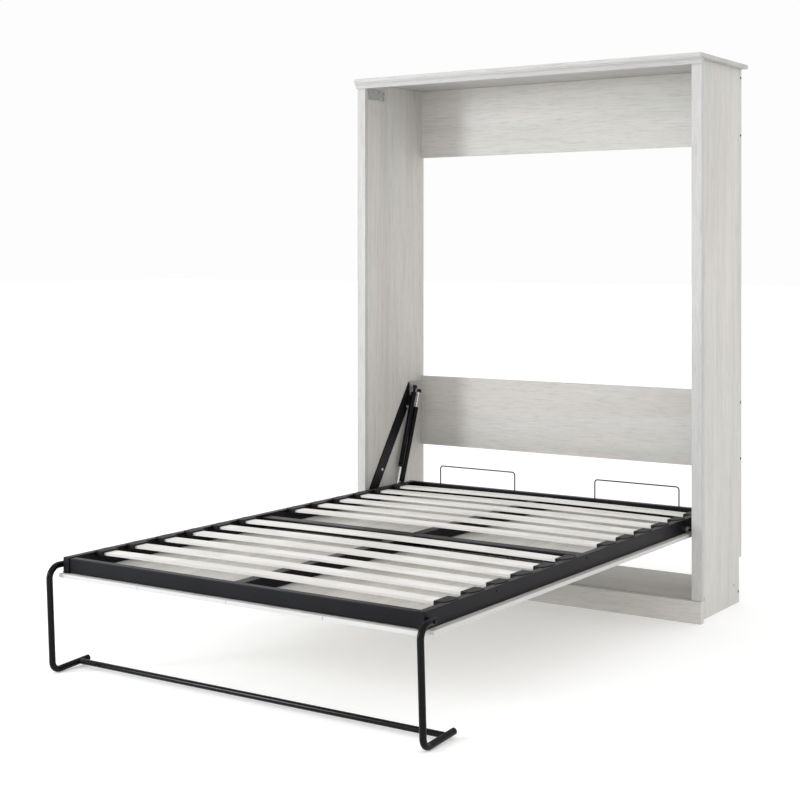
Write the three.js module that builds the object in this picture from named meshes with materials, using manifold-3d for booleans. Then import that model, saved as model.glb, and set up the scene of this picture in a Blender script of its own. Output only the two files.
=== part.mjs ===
// Murphy wall bed, opened: a cabinet, a folding bed frame, its leg and four gas struts.
// Millimetres, +Z up, +Y towards the wall. All pieces are laid out in the cabinet's own frame,
// where x = 0 is its middle, y = 0 its front face and z = 0 the floor. The whole group is then
// moved so that the origin is under the middle of the opened bed's box.
import * as THREE from 'three';
import { mergeVertices } from 'three/addons/utils/BufferGeometryUtils.js';
import Module from 'manifold-3d';

const wasm = await Module();
wasm.setup();

// ---- Driving dimensions ----
const GAP = 0.3;
const ORIGIN_SHIFT_Y = 625;

// Cabinet
const OPENING_HALF = 725;
const STILE_WIDTH = 39.6;
const STILE_DEPTH = 16.8;
const PANEL_THICK = 17;
const CABINET_DEPTH = 417.5;
const CABINET_TOP = 2030.6;
const CROWN_THICK = 15;
const CROWN_HALF = 768;
const CROWN_FRONT = -18;
const MOULDING_BOTTOM = 1991.4;
const PLINTH_TOP = 79;
const PLINTH_FRONT = -6.6;
const SHELF_TOP = 81.9;
const SHELF_THICK = 18;
const BACK_RAIL_THICK = 20.2;
const UPPER_RAIL_BOTTOM = 1730.9;
const LOWER_RAIL_RANGE = [501.2, 794];
const BASEBOARD_NOTCH_DEPTH = 24;
const BASEBOARD_NOTCH_HEIGHT = 168;

// Bed frame
const FRAME_HALF = 689.5;
const RAIL_WIDTH = 25.5;
const RAIL_BOTTOM = 312.7;
const RAIL_TOP = 362.7;
const FOOT_END = -1616.5;
const HEAD_END = 275;
const CROSS_RAIL_RANGE = [-709, -665];
const CROSS_RAIL_TOP = 355;
const CROSS_RAIL_HEIGHT = 35;
const FOOT_RAIL_SET_BACK = 3.5;
const FOOT_RAIL_WIDTH = 25;
const END_RAIL_RANGE_Z = [314.5, 360.1];
const CENTRE_RAIL_HALF = 20;
const CENTRE_RAIL_BOTTOM = 315;
const BOARD_HALF = 710.2;
const BOARD_FOOT = -1629.1;
const BOARD_RANGE_Z = [300, 312.4];
const BOARD_JOINT_X = 355;
const BOARD_JOINT_GAP = 1.2;

// Slats
const SLAT_PITCH = 134;
const SLATS_PER_SIDE = 6;
const FIRST_SLAT_FOOT_SIDE = -1466;
const FIRST_SLAT_HEAD_SIDE = -521;
const SLAT_WIDTH = 50;
const SLAT_THICK = 8;
const SLAT_HALF_LENGTH = 656.5;
const SLAT_END_BOTTOM = 350.8;
const SLAT_BOW = 4.8;
const SLAT_BOW_STEPS = 12;
const HOLDER_RISE = 2.2;
const HOLDER_STRIP_THICK = 1;

// Pivot of the bed, gas struts and support plate: [y, z] places on the side of the cabinet
const BED_PIVOT = [35, 325];
const PLATE_TOP = [327, 764];
const PLATE_WIDTH = 50;
const PLATE_THICK = 5;
const PLATE_CORNER = 8;
const PIVOT_PIN_RADIUS = 5;
const PIVOT_BUSH = { radius: 11, bore: 5.4, length: 10 };
const BRACKET = { thick: 3, y: [304, 372], z: [718, 776] };
const STUD_PLATE = { thick: 2.4, y: [176, 233], z: [326, 356] };
const CATCH_PLATE = { thick: 2.5, y: [20, 130], z: [1949, 1992] };
const CATCH_HOLES = { radius: 4, y: [48, 84, 120], z: [1961, 1981] };
const STRUT_X = 704;
const STRUT_A = { top: [322, 753], bottom: [190, 340] };
const STRUT_B = { top: [352, 733], bottom: [219, 340] };
const STRUT_BODY_RADIUS = 11;
const STRUT_ROD_RADIUS = 4;
const STRUT_BORE_RADIUS = 4.4;
const STRUT_BORE_START = 54;
const STRUT_BODY_START = 24;
const STRUT_BODY_LENGTH = 320;
const STRUT_BODY_EDGE = 2;
const STRUT_NECK_RADIUS = 5;
const STRUT_ROD_LENGTH = 333;
const SOCKET_HALF = 7;
const SOCKET_RADIUS = 8;
const STUD_RADIUS = 4;

// Leg
const LEG_X = 705;
const LEG_TUBE_RADIUS = 10;
const LEG_ARM_Z = 337;
const LEG_ARM_REAR = -1588;
const LEG_PIVOT_Y = -1602;
const LEG_SHAFT_TOP_Y = -1659.72;
const LEG_SHAFT_BOTTOM = [-1644.4, 8.3];
const LEG_FOOT_REAR = [-1498, 18];
const LEG_TOP_BEND = 38;
const LEG_BOTTOM_BEND = 28;
const CROSSBAR = { y: -1537, z: 16.4, radius: 8.8 };
const LEG_BOLT = { spacer: 9, shank: 4, bore: 4.4, head: 7.5, headHeight: 3 };

// Mattress hoops
const HOOP_RADIUS = 2.5;
const HOOP_BEND = 12;
const HOOP_Y = 269;
const HOOP_TOP = 435;
const HOOP_RANGES = [[-536, -175], [191, 551]];

// Facets round each kind of round piece, and how far joined or cut shapes pass into each other
const FINE_SIDES = 20;
const ROUND_SIDES = 16;
const SOCKET_SIDES = 14;
const SMALL_SIDES = 12;
const WIRE_SIDES = 6;
const TUBE_STEPS = 44;
const WIRE_STEPS = 56;
const OVERLAP = 1;
const CUT_MARGIN = 5;

// ---- Materials ----
const material = (color, roughness, metalness) =>
  new THREE.MeshStandardMaterial({ color, roughness, metalness });
const whiteWood = material(0xdcdcd8, 0.65, 0);
const slatWood = material(0xe6e2dc, 0.6, 0);
const blackSteel = material(0x2b2b2f, 0.45, 0.3);
const blackPlastic = material(0x1c1d20, 0.6, 0);
const zincSteel = material(0xb4b6b8, 0.35, 0.9);
const chromeSteel = material(0xd8dadc, 0.12, 1);

// ---- Helpers ----
const group = new THREE.Group();
group.position.y = ORIGIN_SHIFT_Y;

const addMesh = (name, geometry, meshMaterial) => {
  const mesh = new THREE.Mesh(geometry, meshMaterial);
  mesh.name = name;
  group.add(mesh);
  return mesh;
};

const boxGeometry = ([x0, x1], [y0, y1], [z0, z1]) => {
  const geometry = new THREE.BoxGeometry(x1 - x0, y1 - y0, z1 - z0);
  geometry.translate((x0 + x1) / 2, (y0 + y1) / 2, (z0 + z1) / 2);
  return geometry;
};

const addBox = (name, xs, ys, zs, meshMaterial) =>
  addMesh(name, boxGeometry(xs, ys, zs), meshMaterial);

// A range across x on the given side: side -1 is left, +1 is right.
const sideRange = (side, inner, outer) => (side < 0 ? [-outer, -inner] : [inner, outer]);

// A cylinder along x.
const rodAlongX = ([x0, x1], [y, z], radius, sides = ROUND_SIDES) => {
  const geometry = new THREE.CylinderGeometry(radius, radius, x1 - x0, sides);
  geometry.rotateZ(Math.PI / 2);
  geometry.translate((x0 + x1) / 2, y, z);
  return geometry;
};

// Extrudes an outline along z, from the bottom of the range to its top.
const extrudeAlongZ = (shape, [bottom, top], curveSegments = 6) => {
  const settings = { depth: top - bottom, bevelEnabled: false, curveSegments };
  const geometry = new THREE.ExtrudeGeometry(shape, settings);
  geometry.translate(0, 0, bottom);
  return geometry;
};

// Extrudes an outline drawn in (y, z) along x.
const extrudeAlongX = (shape, [x0, x1], curveSegments = 6) => {
  const geometry = extrudeAlongZ(shape, [0, x1 - x0], curveSegments);
  const yzToSide = new THREE.Matrix4().makeBasis(
    new THREE.Vector3(0, 1, 0),
    new THREE.Vector3(0, 0, 1),
    new THREE.Vector3(1, 0, 0),
  );
  geometry.applyMatrix4(yzToSide);
  geometry.translate(x0, 0, 0);
  return geometry;
};

const outline = (points) => new THREE.Shape(points.map(([a, b]) => new THREE.Vector2(a, b)));

const toSolid = (geometry) => {
  const bare = geometry.clone();
  bare.deleteAttribute('normal');
  bare.deleteAttribute('uv');
  const merged = mergeVertices(bare, 1e-4);
  return new wasm.Manifold(new wasm.Mesh({
    numProp: 3,
    vertProperties: Float32Array.from(merged.attributes.position.array),
    triVerts: Uint32Array.from(merged.index.array),
  }));
};

const toGeometry = (solid) => {
  const mesh = solid.getMesh();
  const geometry = new THREE.BufferGeometry();
  const positions = Float32Array.from(mesh.vertProperties);
  geometry.setAttribute('position', new THREE.BufferAttribute(positions, 3));
  geometry.setIndex(new THREE.BufferAttribute(Uint32Array.from(mesh.triVerts), 1));
  geometry.computeVertexNormals();
  return geometry;
};

const joinGeometries = (geometries) =>
  toGeometry(geometries.map(toSolid).reduce((joined, next) => joined.add(next)));

const cutGeometry = (base, tools) =>
  toGeometry(tools.map(toSolid).reduce((rest, tool) => rest.subtract(tool), toSolid(base)));

const SIDES = [
  { side: -1, label: 'left' },
  { side: 1, label: 'right' },
];

// ---- Cabinet ----
const crownUnderside = CABINET_TOP - CROWN_THICK - GAP;
const panelOuter = OPENING_HALF + PANEL_THICK;
const insideHalf = OPENING_HALF - GAP;
const backRailFront = CABINET_DEPTH - BACK_RAIL_THICK;

const sidePanelOutline = () => {
  const front = STILE_DEPTH + GAP;
  const notchFront = CABINET_DEPTH - BASEBOARD_NOTCH_DEPTH;
  return outline([
    [front, 0],
    [notchFront, 0],
    [notchFront, BASEBOARD_NOTCH_HEIGHT],
    [CABINET_DEPTH, BASEBOARD_NOTCH_HEIGHT],
    [CABINET_DEPTH, crownUnderside],
    [front, crownUnderside],
  ]);
};

// Moulding profile in (y, height above its bottom): a flat foot, a cove that swells forward,
// and a small square lip.
const MOULDING_FOOT = -5.5;
const MOULDING_COVE = { start: [-6.5, 5], control: [-8, 15], end: [-14, 18] };
const MOULDING_LIP = { y: -16.5, height: 19.5 };

const mouldingOutline = () => {
  const { start, control, end } = MOULDING_COVE;
  const lipBottom = MOULDING_BOTTOM + MOULDING_LIP.height;
  const shape = new THREE.Shape();
  shape.moveTo(-GAP, MOULDING_BOTTOM);
  shape.lineTo(MOULDING_FOOT, MOULDING_BOTTOM);
  shape.lineTo(start[0], MOULDING_BOTTOM + start[1]);
  shape.quadraticCurveTo(control[0], MOULDING_BOTTOM + control[1], end[0], MOULDING_BOTTOM + end[1]);
  shape.lineTo(end[0], lipBottom);
  shape.lineTo(MOULDING_LIP.y, lipBottom);
  shape.lineTo(MOULDING_LIP.y, crownUnderside);
  shape.lineTo(-GAP, crownUnderside);
  return shape;
};

const buildCabinet = () => {
  for (const { side, label } of SIDES) {
    const panelRange = sideRange(side, OPENING_HALF, panelOuter);
    addMesh(`side_panel_${label}`, extrudeAlongX(sidePanelOutline(), panelRange), whiteWood);
    const stileRange = sideRange(side, OPENING_HALF, OPENING_HALF + STILE_WIDTH);
    const stileHeight = [PLINTH_TOP + GAP, crownUnderside];
    addBox(`front_stile_${label}`, stileRange, [0, STILE_DEPTH], stileHeight, whiteWood);
  }
  const crownRange = [-CROWN_HALF, CROWN_HALF];
  const crownDepth = [CROWN_FRONT, CABINET_DEPTH];
  addBox('crown_board', crownRange, crownDepth, [CABINET_TOP - CROWN_THICK, CABINET_TOP], whiteWood);
  addMesh('crown_moulding', extrudeAlongX(mouldingOutline(), crownRange), whiteWood);
  const inside = [-insideHalf, insideHalf];
  const backRailDepth = [backRailFront, CABINET_DEPTH];
  addBox('back_rail_upper', inside, backRailDepth, [UPPER_RAIL_BOTTOM, crownUnderside], whiteWood);
  addBox('back_rail_lower', inside, backRailDepth, LOWER_RAIL_RANGE, whiteWood);
  const shelfDepth = [STILE_DEPTH + GAP, CABINET_DEPTH - BASEBOARD_NOTCH_DEPTH];
  addBox('base_shelf', inside, shelfDepth, [SHELF_TOP - SHELF_THICK, SHELF_TOP], whiteWood);
  const plinthHalf = OPENING_HALF + STILE_WIDTH;
  addBox('plinth', [-plinthHalf, plinthHalf], [PLINTH_FRONT, STILE_DEPTH], [0, PLINTH_TOP], whiteWood);
};

// ---- Pivot plates, strut brackets and small cabinet hardware ----
const plateOuter = insideHalf;
const plateInner = plateOuter - PLATE_THICK;
const bracketInner = plateInner - GAP - BRACKET.thick;

// A strip of the plate's width from the pivot to the top, round at the pivot's end.
const plateOutline = () => {
  const [pivotY, pivotZ] = BED_PIVOT;
  const direction = new THREE.Vector2(PLATE_TOP[0] - pivotY, PLATE_TOP[1] - pivotZ);
  const length = direction.length();
  const angle = direction.angle();
  const half = PLATE_WIDTH / 2;
  const shape = new THREE.Shape();
  const place = (along, across) => new THREE.Vector2(along, across)
    .rotateAround(new THREE.Vector2(0, 0), angle)
    .add(new THREE.Vector2(pivotY, pivotZ));
  const start = place(0, half);
  shape.moveTo(start.x, start.y);
  shape.absarc(pivotY, pivotZ, half, angle + Math.PI / 2, angle + Math.PI * 1.5, false);
  for (const [along, across] of [
    [length - PLATE_CORNER, -half],
    [length, -half + PLATE_CORNER],
    [length, half - PLATE_CORNER],
    [length - PLATE_CORNER, half],
  ]) {
    const point = place(along, across);
    shape.lineTo(point.x, point.y);
  }
  return shape;
};

const buildPlates = () => {
  for (const { side, label } of SIDES) {
    const plate = extrudeAlongX(plateOutline(), sideRange(side, plateInner, plateOuter), SMALL_SIDES);
    const pinRange = sideRange(side, FRAME_HALF + 2 * GAP, plateInner + OVERLAP);
    const pin = rodAlongX(pinRange, BED_PIVOT, PIVOT_PIN_RADIUS, FINE_SIDES);
    addMesh(`pivot_plate_${label}`, joinGeometries([plate, pin]), blackSteel);

    const bracketRange = sideRange(side, bracketInner, bracketInner + BRACKET.thick);
    const bracket = boxGeometry(bracketRange, BRACKET.y, BRACKET.z);
    const studRange = sideRange(side, STRUT_X + SOCKET_HALF + GAP, bracketInner + OVERLAP);
    const studs = [STRUT_A.top, STRUT_B.top]
      .map((place) => rodAlongX(studRange, place, STUD_RADIUS, SMALL_SIDES));
    addMesh(`strut_bracket_${label}`, joinGeometries([bracket, ...studs]), zincSteel);
  }
};

const buildCatchPlate = () => {
  const plateRange = [-insideHalf, -insideHalf + CATCH_PLATE.thick];
  const plate = boxGeometry(plateRange, CATCH_PLATE.y, CATCH_PLATE.z);
  const holeRange = [plateRange[0] - CUT_MARGIN, plateRange[1] + CUT_MARGIN];
  const holes = [];
  for (const y of CATCH_HOLES.y) {
    for (const z of CATCH_HOLES.z) {
      holes.push(rodAlongX(holeRange, [y, z], CATCH_HOLES.radius, SMALL_SIDES));
    }
  }
  addMesh('catch_plate', cutGeometry(plate, holes), zincSteel);
};

// ---- Bed frame ----
const railInner = FRAME_HALF - RAIL_WIDTH;
const betweenRails = railInner - GAP;

const buildBedFrame = () => {
  for (const { side, label } of SIDES) {
    const range = sideRange(side, railInner, FRAME_HALF);
    addBox(`side_rail_${label}`, range, [FOOT_END, HEAD_END], [RAIL_BOTTOM, RAIL_TOP], blackSteel);
  }
  const across = [-betweenRails, betweenRails];
  const footRailFront = FOOT_END + FOOT_RAIL_SET_BACK;
  const footRailY = [footRailFront, footRailFront + FOOT_RAIL_WIDTH];
  const headRailY = [HEAD_END - RAIL_WIDTH, HEAD_END];
  const headRailZ = [END_RAIL_RANGE_Z[0], RAIL_TOP - GAP];
  const crossRailZ = [CROSS_RAIL_TOP - CROSS_RAIL_HEIGHT, CROSS_RAIL_TOP];
  addBox('foot_rail', across, footRailY, END_RAIL_RANGE_Z, blackSteel);
  addBox('head_rail', across, headRailY, headRailZ, blackSteel);
  addBox('mid_cross_rail', across, CROSS_RAIL_RANGE, crossRailZ, blackSteel);
  const centreX = [-CENTRE_RAIL_HALF, CENTRE_RAIL_HALF];
  const centreZ = [CENTRE_RAIL_BOTTOM, CROSS_RAIL_TOP];
  const footLengthY = [footRailY[1] + GAP, CROSS_RAIL_RANGE[0] - GAP];
  const headLengthY = [CROSS_RAIL_RANGE[1] + GAP, headRailY[0] - GAP];
  addBox('centre_rail_foot', centreX, footLengthY, centreZ, blackSteel);
  addBox('centre_rail_head', centreX, headLengthY, centreZ, blackSteel);
};

const slatCentres = () => {
  const centres = [];
  for (const first of [FIRST_SLAT_FOOT_SIDE, FIRST_SLAT_HEAD_SIDE]) {
    for (let i = 0; i < SLATS_PER_SIDE; i += 1) {
      centres.push(first + i * SLAT_PITCH);
    }
  }
  return centres;
};

// A sprung slat, bowed up in the middle. Its outline is drawn in (x, z) and extruded along y.
const slatGeometry = (centre) => {
  const xs = [];
  for (let i = 0; i <= SLAT_BOW_STEPS; i += 1) {
    xs.push(SLAT_HALF_LENGTH * (2 * i / SLAT_BOW_STEPS - 1));
  }
  const underside = (x) => SLAT_END_BOTTOM + SLAT_BOW * (1 - (x / SLAT_HALF_LENGTH) ** 2);
  const below = xs.map((x) => [x, underside(x)]);
  const above = xs.map((x) => [x, underside(x) + SLAT_THICK]).reverse();
  const geometry = extrudeAlongZ(outline([...below, ...above]), [-SLAT_WIDTH / 2, SLAT_WIDTH / 2]);
  geometry.rotateX(Math.PI / 2);
  geometry.translate(0, centre, 0);
  return geometry;
};

// A slat holder: a plastic socket inside the side rail, which takes the slat's end. Its round-cornered
// flange rests on the rail.
// A thin strip along the rail joins the holders of one side into one solid.
// Its plan is in (x, y from the slat's middle); each curve has a control point and an end.
const HOLDER_START = [640, -36];
const HOLDER_FRONT = [671, -37];
const HOLDER_CURVES = [
  { control: [681, -16], end: [682, 14] },
  { control: [681, 36], end: [670, 37] },
];
const HOLDER_REAR = [640, 36];
const HOLDER_CHAMFER = 0.8;
const SOCKET_BOTTOM = 349;
const HOLDER_CURVE_STEPS = 3;
const HOLDER_STRIP_X = [661, 671];
const HOLDER_STRIP_END = 30;

const slatHolder = (side, centre) => {
  const shape = new THREE.Shape();
  shape.moveTo(HOLDER_START[0], centre + HOLDER_START[1]);
  shape.lineTo(HOLDER_FRONT[0], centre + HOLDER_FRONT[1]);
  for (const { control, end } of HOLDER_CURVES) {
    shape.quadraticCurveTo(control[0], centre + control[1], end[0], centre + end[1]);
  }
  shape.lineTo(HOLDER_REAR[0], centre + HOLDER_REAR[1]);
  const bottom = RAIL_TOP + GAP;
  const top = RAIL_TOP + HOLDER_RISE;
  const flange = new THREE.ExtrudeGeometry(shape, {
    depth: top - bottom - HOLDER_CHAMFER,
    bevelEnabled: true,
    bevelThickness: HOLDER_CHAMFER,
    bevelSize: HOLDER_CHAMFER,
    bevelOffset: -HOLDER_CHAMFER,
    bevelSegments: 1,
    curveSegments: HOLDER_CURVE_STEPS,
  });
  flange.translate(0, 0, bottom);
  const belowRail = boxGeometry(
    [HOLDER_START[0] - CUT_MARGIN, FRAME_HALF],
    [centre - SLAT_PITCH / 2, centre + SLAT_PITCH / 2],
    [bottom - CUT_MARGIN, bottom],
  );
  const socket = boxGeometry(
    [HOLDER_START[0], FRAME_HALF - RAIL_WIDTH - GAP],
    [centre + HOLDER_START[1], centre + HOLDER_REAR[1]],
    [SOCKET_BOTTOM, bottom + GAP],
  );
  const pocketHalf = SLAT_WIDTH / 2 + GAP;
  const pocket = boxGeometry(
    [HOLDER_START[0] - CUT_MARGIN, SLAT_HALF_LENGTH + GAP],
    [centre - pocketHalf, centre + pocketHalf],
    [SLAT_END_BOTTOM - GAP, SLAT_END_BOTTOM + SLAT_THICK + 2 * GAP],
  );
  const solid = toSolid(flange).subtract(toSolid(belowRail)).add(toSolid(socket))
    .subtract(toSolid(pocket));
  return side > 0 ? solid : solid.mirror([1, 0, 0]);
};

const buildSlats = () => {
  const centres = slatCentres();
  centres.forEach((centre, index) => {
    const name = `slat_${String(index + 1).padStart(2, '0')}`;
    addMesh(name, slatGeometry(centre), slatWood);
  });
  for (const { side, label } of SIDES) {
    const stripY = [centres[0] - HOLDER_STRIP_END, centres[centres.length - 1] + HOLDER_STRIP_END];
    const stripZ = [RAIL_TOP + GAP, RAIL_TOP + GAP + HOLDER_STRIP_THICK];
    const strip = boxGeometry(sideRange(side, ...HOLDER_STRIP_X), stripY, stripZ);
    const holders = centres.map((centre) => slatHolder(side, centre))
      .reduce((all, next) => all.add(next), toSolid(strip));
    addMesh(`slat_holders_${label}`, toGeometry(holders), blackPlastic);
  }
};

// Four boards lie along the bed under the frame. The outer two have a corner notch that lets
// the leg's arm swing through.
const LEG_NOTCH = { x: 694.4, y: -1601.5 };

const buildFrontBoards = () => {
  const half = BOARD_JOINT_GAP / 2;
  const boardY = [BOARD_FOOT, HEAD_END];
  const outerBoard = (side) => {
    const points = [
      [BOARD_JOINT_X + half, BOARD_FOOT],
      [LEG_NOTCH.x, BOARD_FOOT],
      [LEG_NOTCH.x, LEG_NOTCH.y],
      [BOARD_HALF, LEG_NOTCH.y],
      [BOARD_HALF, HEAD_END],
      [BOARD_JOINT_X + half, HEAD_END],
    ].map(([x, y]) => [side * x, y]);
    return extrudeAlongZ(outline(points), BOARD_RANGE_Z);
  };
  addMesh('front_board_1', outerBoard(-1), whiteWood);
  addBox('front_board_2', [-BOARD_JOINT_X + half, -half], boardY, BOARD_RANGE_Z, whiteWood);
  addBox('front_board_3', [half, BOARD_JOINT_X - half], boardY, BOARD_RANGE_Z, whiteWood);
  addMesh('front_board_4', outerBoard(1), whiteWood);
};

// ---- Round wire and tube along a bent line ----
// Turns a list of corners into a path with a round bend at each inner corner.
const bentPath = (corners, radii) => {
  const path = new THREE.CurvePath();
  let from = corners[0];
  for (let i = 1; i < corners.length - 1; i += 1) {
    const corner = corners[i];
    const back = corners[i - 1].clone().sub(corner).normalize();
    const ahead = corners[i + 1].clone().sub(corner).normalize();
    const halfAngle = back.angleTo(ahead) / 2;
    const setback = radii[i - 1] / Math.tan(halfAngle);
    const bendStart = corner.clone().addScaledVector(back, setback);
    const bendEnd = corner.clone().addScaledVector(ahead, setback);
    path.add(new THREE.LineCurve3(from, bendStart));
    path.add(new BendCurve(bendStart, corner, bendEnd, radii[i - 1]));
    from = bendEnd;
  }
  path.add(new THREE.LineCurve3(from, corners[corners.length - 1]));
  return path;
};

// A circular arc from start to end that is tangent to the lines through the corner.
class BendCurve extends THREE.Curve {
  constructor(start, corner, end, radius) {
    super();
    const bisector = start.clone().add(end).multiplyScalar(0.5).sub(corner).normalize();
    const centreDistance = Math.hypot(radius, start.distanceTo(corner));
    this.centre = corner.clone().addScaledVector(bisector, centreDistance);
    this.fromCentre = start.clone().sub(this.centre);
    this.angle = this.fromCentre.angleTo(end.clone().sub(this.centre));
    this.axis = this.fromCentre.clone().cross(end.clone().sub(this.centre)).normalize();
  }

  getPoint(t, target = new THREE.Vector3()) {
    return target.copy(this.fromCentre).applyAxisAngle(this.axis, this.angle * t).add(this.centre);
  }
}

const roundSection = (radius, sides) => {
  const points = [];
  for (let i = 0; i < sides; i += 1) {
    const angle = ((i + 0.5) / sides) * Math.PI * 2;
    points.push([radius * Math.cos(angle), radius * Math.sin(angle)]);
  }
  return outline(points);
};

const tubeAlong = (path, radius, sides, steps) => {
  const settings = { extrudePath: path, steps, bevelEnabled: false };
  return new THREE.ExtrudeGeometry(roundSection(radius, sides), settings);
};

const buildHoops = () => {
  const bottom = RAIL_TOP;
  HOOP_RANGES.forEach(([x0, x1], index) => {
    const corners = [[x0, bottom], [x0, HOOP_TOP], [x1, HOOP_TOP], [x1, bottom]]
      .map(([x, z]) => new THREE.Vector3(x, HOOP_Y, z));
    const path = bentPath(corners, [HOOP_BEND, HOOP_BEND]);
    const hoop = tubeAlong(path, HOOP_RADIUS, WIRE_SIDES, WIRE_STEPS);
    addMesh(`mattress_hoop_${SIDES[index].label}`, hoop, blackSteel);
  });
};

const buildBedHardware = () => {
  const start = FRAME_HALF + GAP;
  for (const { side, label } of SIDES) {
    const bushEnd = start + PIVOT_BUSH.length;
    const ring = rodAlongX(sideRange(side, start, bushEnd), BED_PIVOT, PIVOT_BUSH.radius, FINE_SIDES);
    const holeRange = sideRange(side, start - CUT_MARGIN, bushEnd + CUT_MARGIN);
    const hole = rodAlongX(holeRange, BED_PIVOT, PIVOT_BUSH.bore, FINE_SIDES);
    addMesh(`pivot_bush_${label}`, cutGeometry(ring, [hole]), zincSteel);

    const plateRange = sideRange(side, start, start + STUD_PLATE.thick);
    const plate = boxGeometry(plateRange, STUD_PLATE.y, STUD_PLATE.z);
    const studStart = start + STUD_PLATE.thick - OVERLAP;
    const studRange = sideRange(side, studStart, STRUT_X - SOCKET_HALF - GAP);
    const studs = [STRUT_A.bottom, STRUT_B.bottom]
      .map((place) => rodAlongX(studRange, place, STUD_RADIUS, SMALL_SIDES));
    addMesh(`strut_stud_plate_${label}`, joinGeometries([plate, ...studs]), zincSteel);

    const legPivot = [LEG_PIVOT_Y, LEG_ARM_Z];
    const legInner = LEG_X - LEG_TUBE_RADIUS - GAP;
    const legOuter = LEG_X + LEG_TUBE_RADIUS + GAP;
    const headRange = sideRange(side, legOuter, legOuter + LEG_BOLT.headHeight);
    const spacer = rodAlongX(sideRange(side, start, legInner), legPivot, LEG_BOLT.spacer);
    const shank = rodAlongX(sideRange(side, start, legOuter + OVERLAP), legPivot, LEG_BOLT.shank);
    const head = rodAlongX(headRange, legPivot, LEG_BOLT.head);
    addMesh(`leg_bolt_${label}`, joinGeometries([spacer, shank, head]), blackSteel);
  }
};

// ---- Leg ----
const buildLeg = () => {
  for (const { side, label } of SIDES) {
    const x = side * LEG_X;
    const corners = [
      [LEG_ARM_REAR, LEG_ARM_Z],
      [LEG_SHAFT_TOP_Y, LEG_ARM_Z],
      LEG_SHAFT_BOTTOM,
      LEG_FOOT_REAR,
    ].map(([y, z]) => new THREE.Vector3(x, y, z));
    const path = bentPath(corners, [LEG_TOP_BEND, LEG_BOTTOM_BEND]);
    const tube = tubeAlong(path, LEG_TUBE_RADIUS, SMALL_SIDES, TUBE_STEPS);
    const holeRange = [x - LEG_TUBE_RADIUS - CUT_MARGIN, x + LEG_TUBE_RADIUS + CUT_MARGIN];
    const hole = rodAlongX(holeRange, [LEG_PIVOT_Y, LEG_ARM_Z], LEG_BOLT.bore);
    addMesh(`leg_${label}`, cutGeometry(tube, [hole]), blackSteel);
  }
  const barHalf = LEG_X - LEG_TUBE_RADIUS - GAP;
  const bar = rodAlongX([-barHalf, barHalf], [CROSSBAR.y, CROSSBAR.z], CROSSBAR.radius);
  addMesh('leg_crossbar', bar, blackSteel);
};

// ---- Gas struts ----
// Each part is turned from a profile along +y and then laid from one end's place to the other's.
const layAlong = (geometry, [fromY, fromZ], [toY, toZ], x) => {
  geometry.rotateX(Math.atan2(toZ - fromZ, toY - fromY));
  geometry.translate(x, fromY, fromZ);
  return geometry;
};

const turned = (points, sides = ROUND_SIDES) =>
  new THREE.LatheGeometry(points.map(([radius, along]) => new THREE.Vector2(radius, along)), sides);

// Where a strut part begins inside its socket, and the slope from its neck to its body.
const INSIDE_SOCKET = 2;
const SHOULDER_START = 20;
const SHOULDER_END = 27;

// The cylinder's own ball socket is at 0; its bore is open at the far end.
const strutCylinder = (from, to, x, sockets) => {
  const end = STRUT_BODY_START + STRUT_BODY_LENGTH;
  const body = turned([
    [0, INSIDE_SOCKET],
    [STRUT_NECK_RADIUS, INSIDE_SOCKET],
    [STRUT_NECK_RADIUS, SHOULDER_START],
    [STRUT_BODY_RADIUS - STRUT_BODY_EDGE, STRUT_BODY_START],
    [STRUT_BODY_RADIUS, SHOULDER_END],
    [STRUT_BODY_RADIUS, end - STRUT_BODY_EDGE],
    [STRUT_BODY_RADIUS - STRUT_BODY_EDGE, end],
    [STRUT_BORE_RADIUS, end],
    [STRUT_BORE_RADIUS, STRUT_BORE_START],
    [0, STRUT_BORE_START],
  ]);
  return joinGeometries([layAlong(body, from, to, x), sockets]);
};

const strutRod = (from, to, x, sockets) => {
  const rod = turned([
    [0, INSIDE_SOCKET],
    [STRUT_ROD_RADIUS, INSIDE_SOCKET],
    [STRUT_ROD_RADIUS, STRUT_ROD_LENGTH],
    [0, STRUT_ROD_LENGTH],
  ], SMALL_SIDES);
  return joinGeometries([layAlong(rod, from, to, x), sockets]);
};

const buildStruts = () => {
  for (const { side, label } of SIDES) {
    const x = side * STRUT_X;
    const socketRange = [x - SOCKET_HALF, x + SOCKET_HALF];
    const socket = (place) => rodAlongX(socketRange, place, SOCKET_RADIUS, SOCKET_SIDES);
    const a = STRUT_A;
    const b = STRUT_B;
    addMesh(`strut_cylinder_a_${label}`, strutCylinder(a.top, a.bottom, x, socket(a.top)), blackSteel);
    addMesh(`strut_rod_a_${label}`, strutRod(a.bottom, a.top, x, socket(a.bottom)), chromeSteel);
    addMesh(`strut_cylinder_b_${label}`, strutCylinder(b.bottom, b.top, x, socket(b.bottom)), blackSteel);
    addMesh(`strut_rod_b_${label}`, strutRod(b.top, b.bottom, x, socket(b.top)), chromeSteel);
  }
};

buildCabinet();
buildPlates();
buildCatchPlate();
buildBedFrame();
buildSlats();
buildFrontBoards();
buildHoops();
buildBedHardware();
buildLeg();
buildStruts();

export default group;
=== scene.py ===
"""Murphy wall bed, opened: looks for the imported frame. Metres, +Z up, +Y towards the wall."""
import math

import bmesh
import bpy
from mathutils import Matrix, Vector


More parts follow.
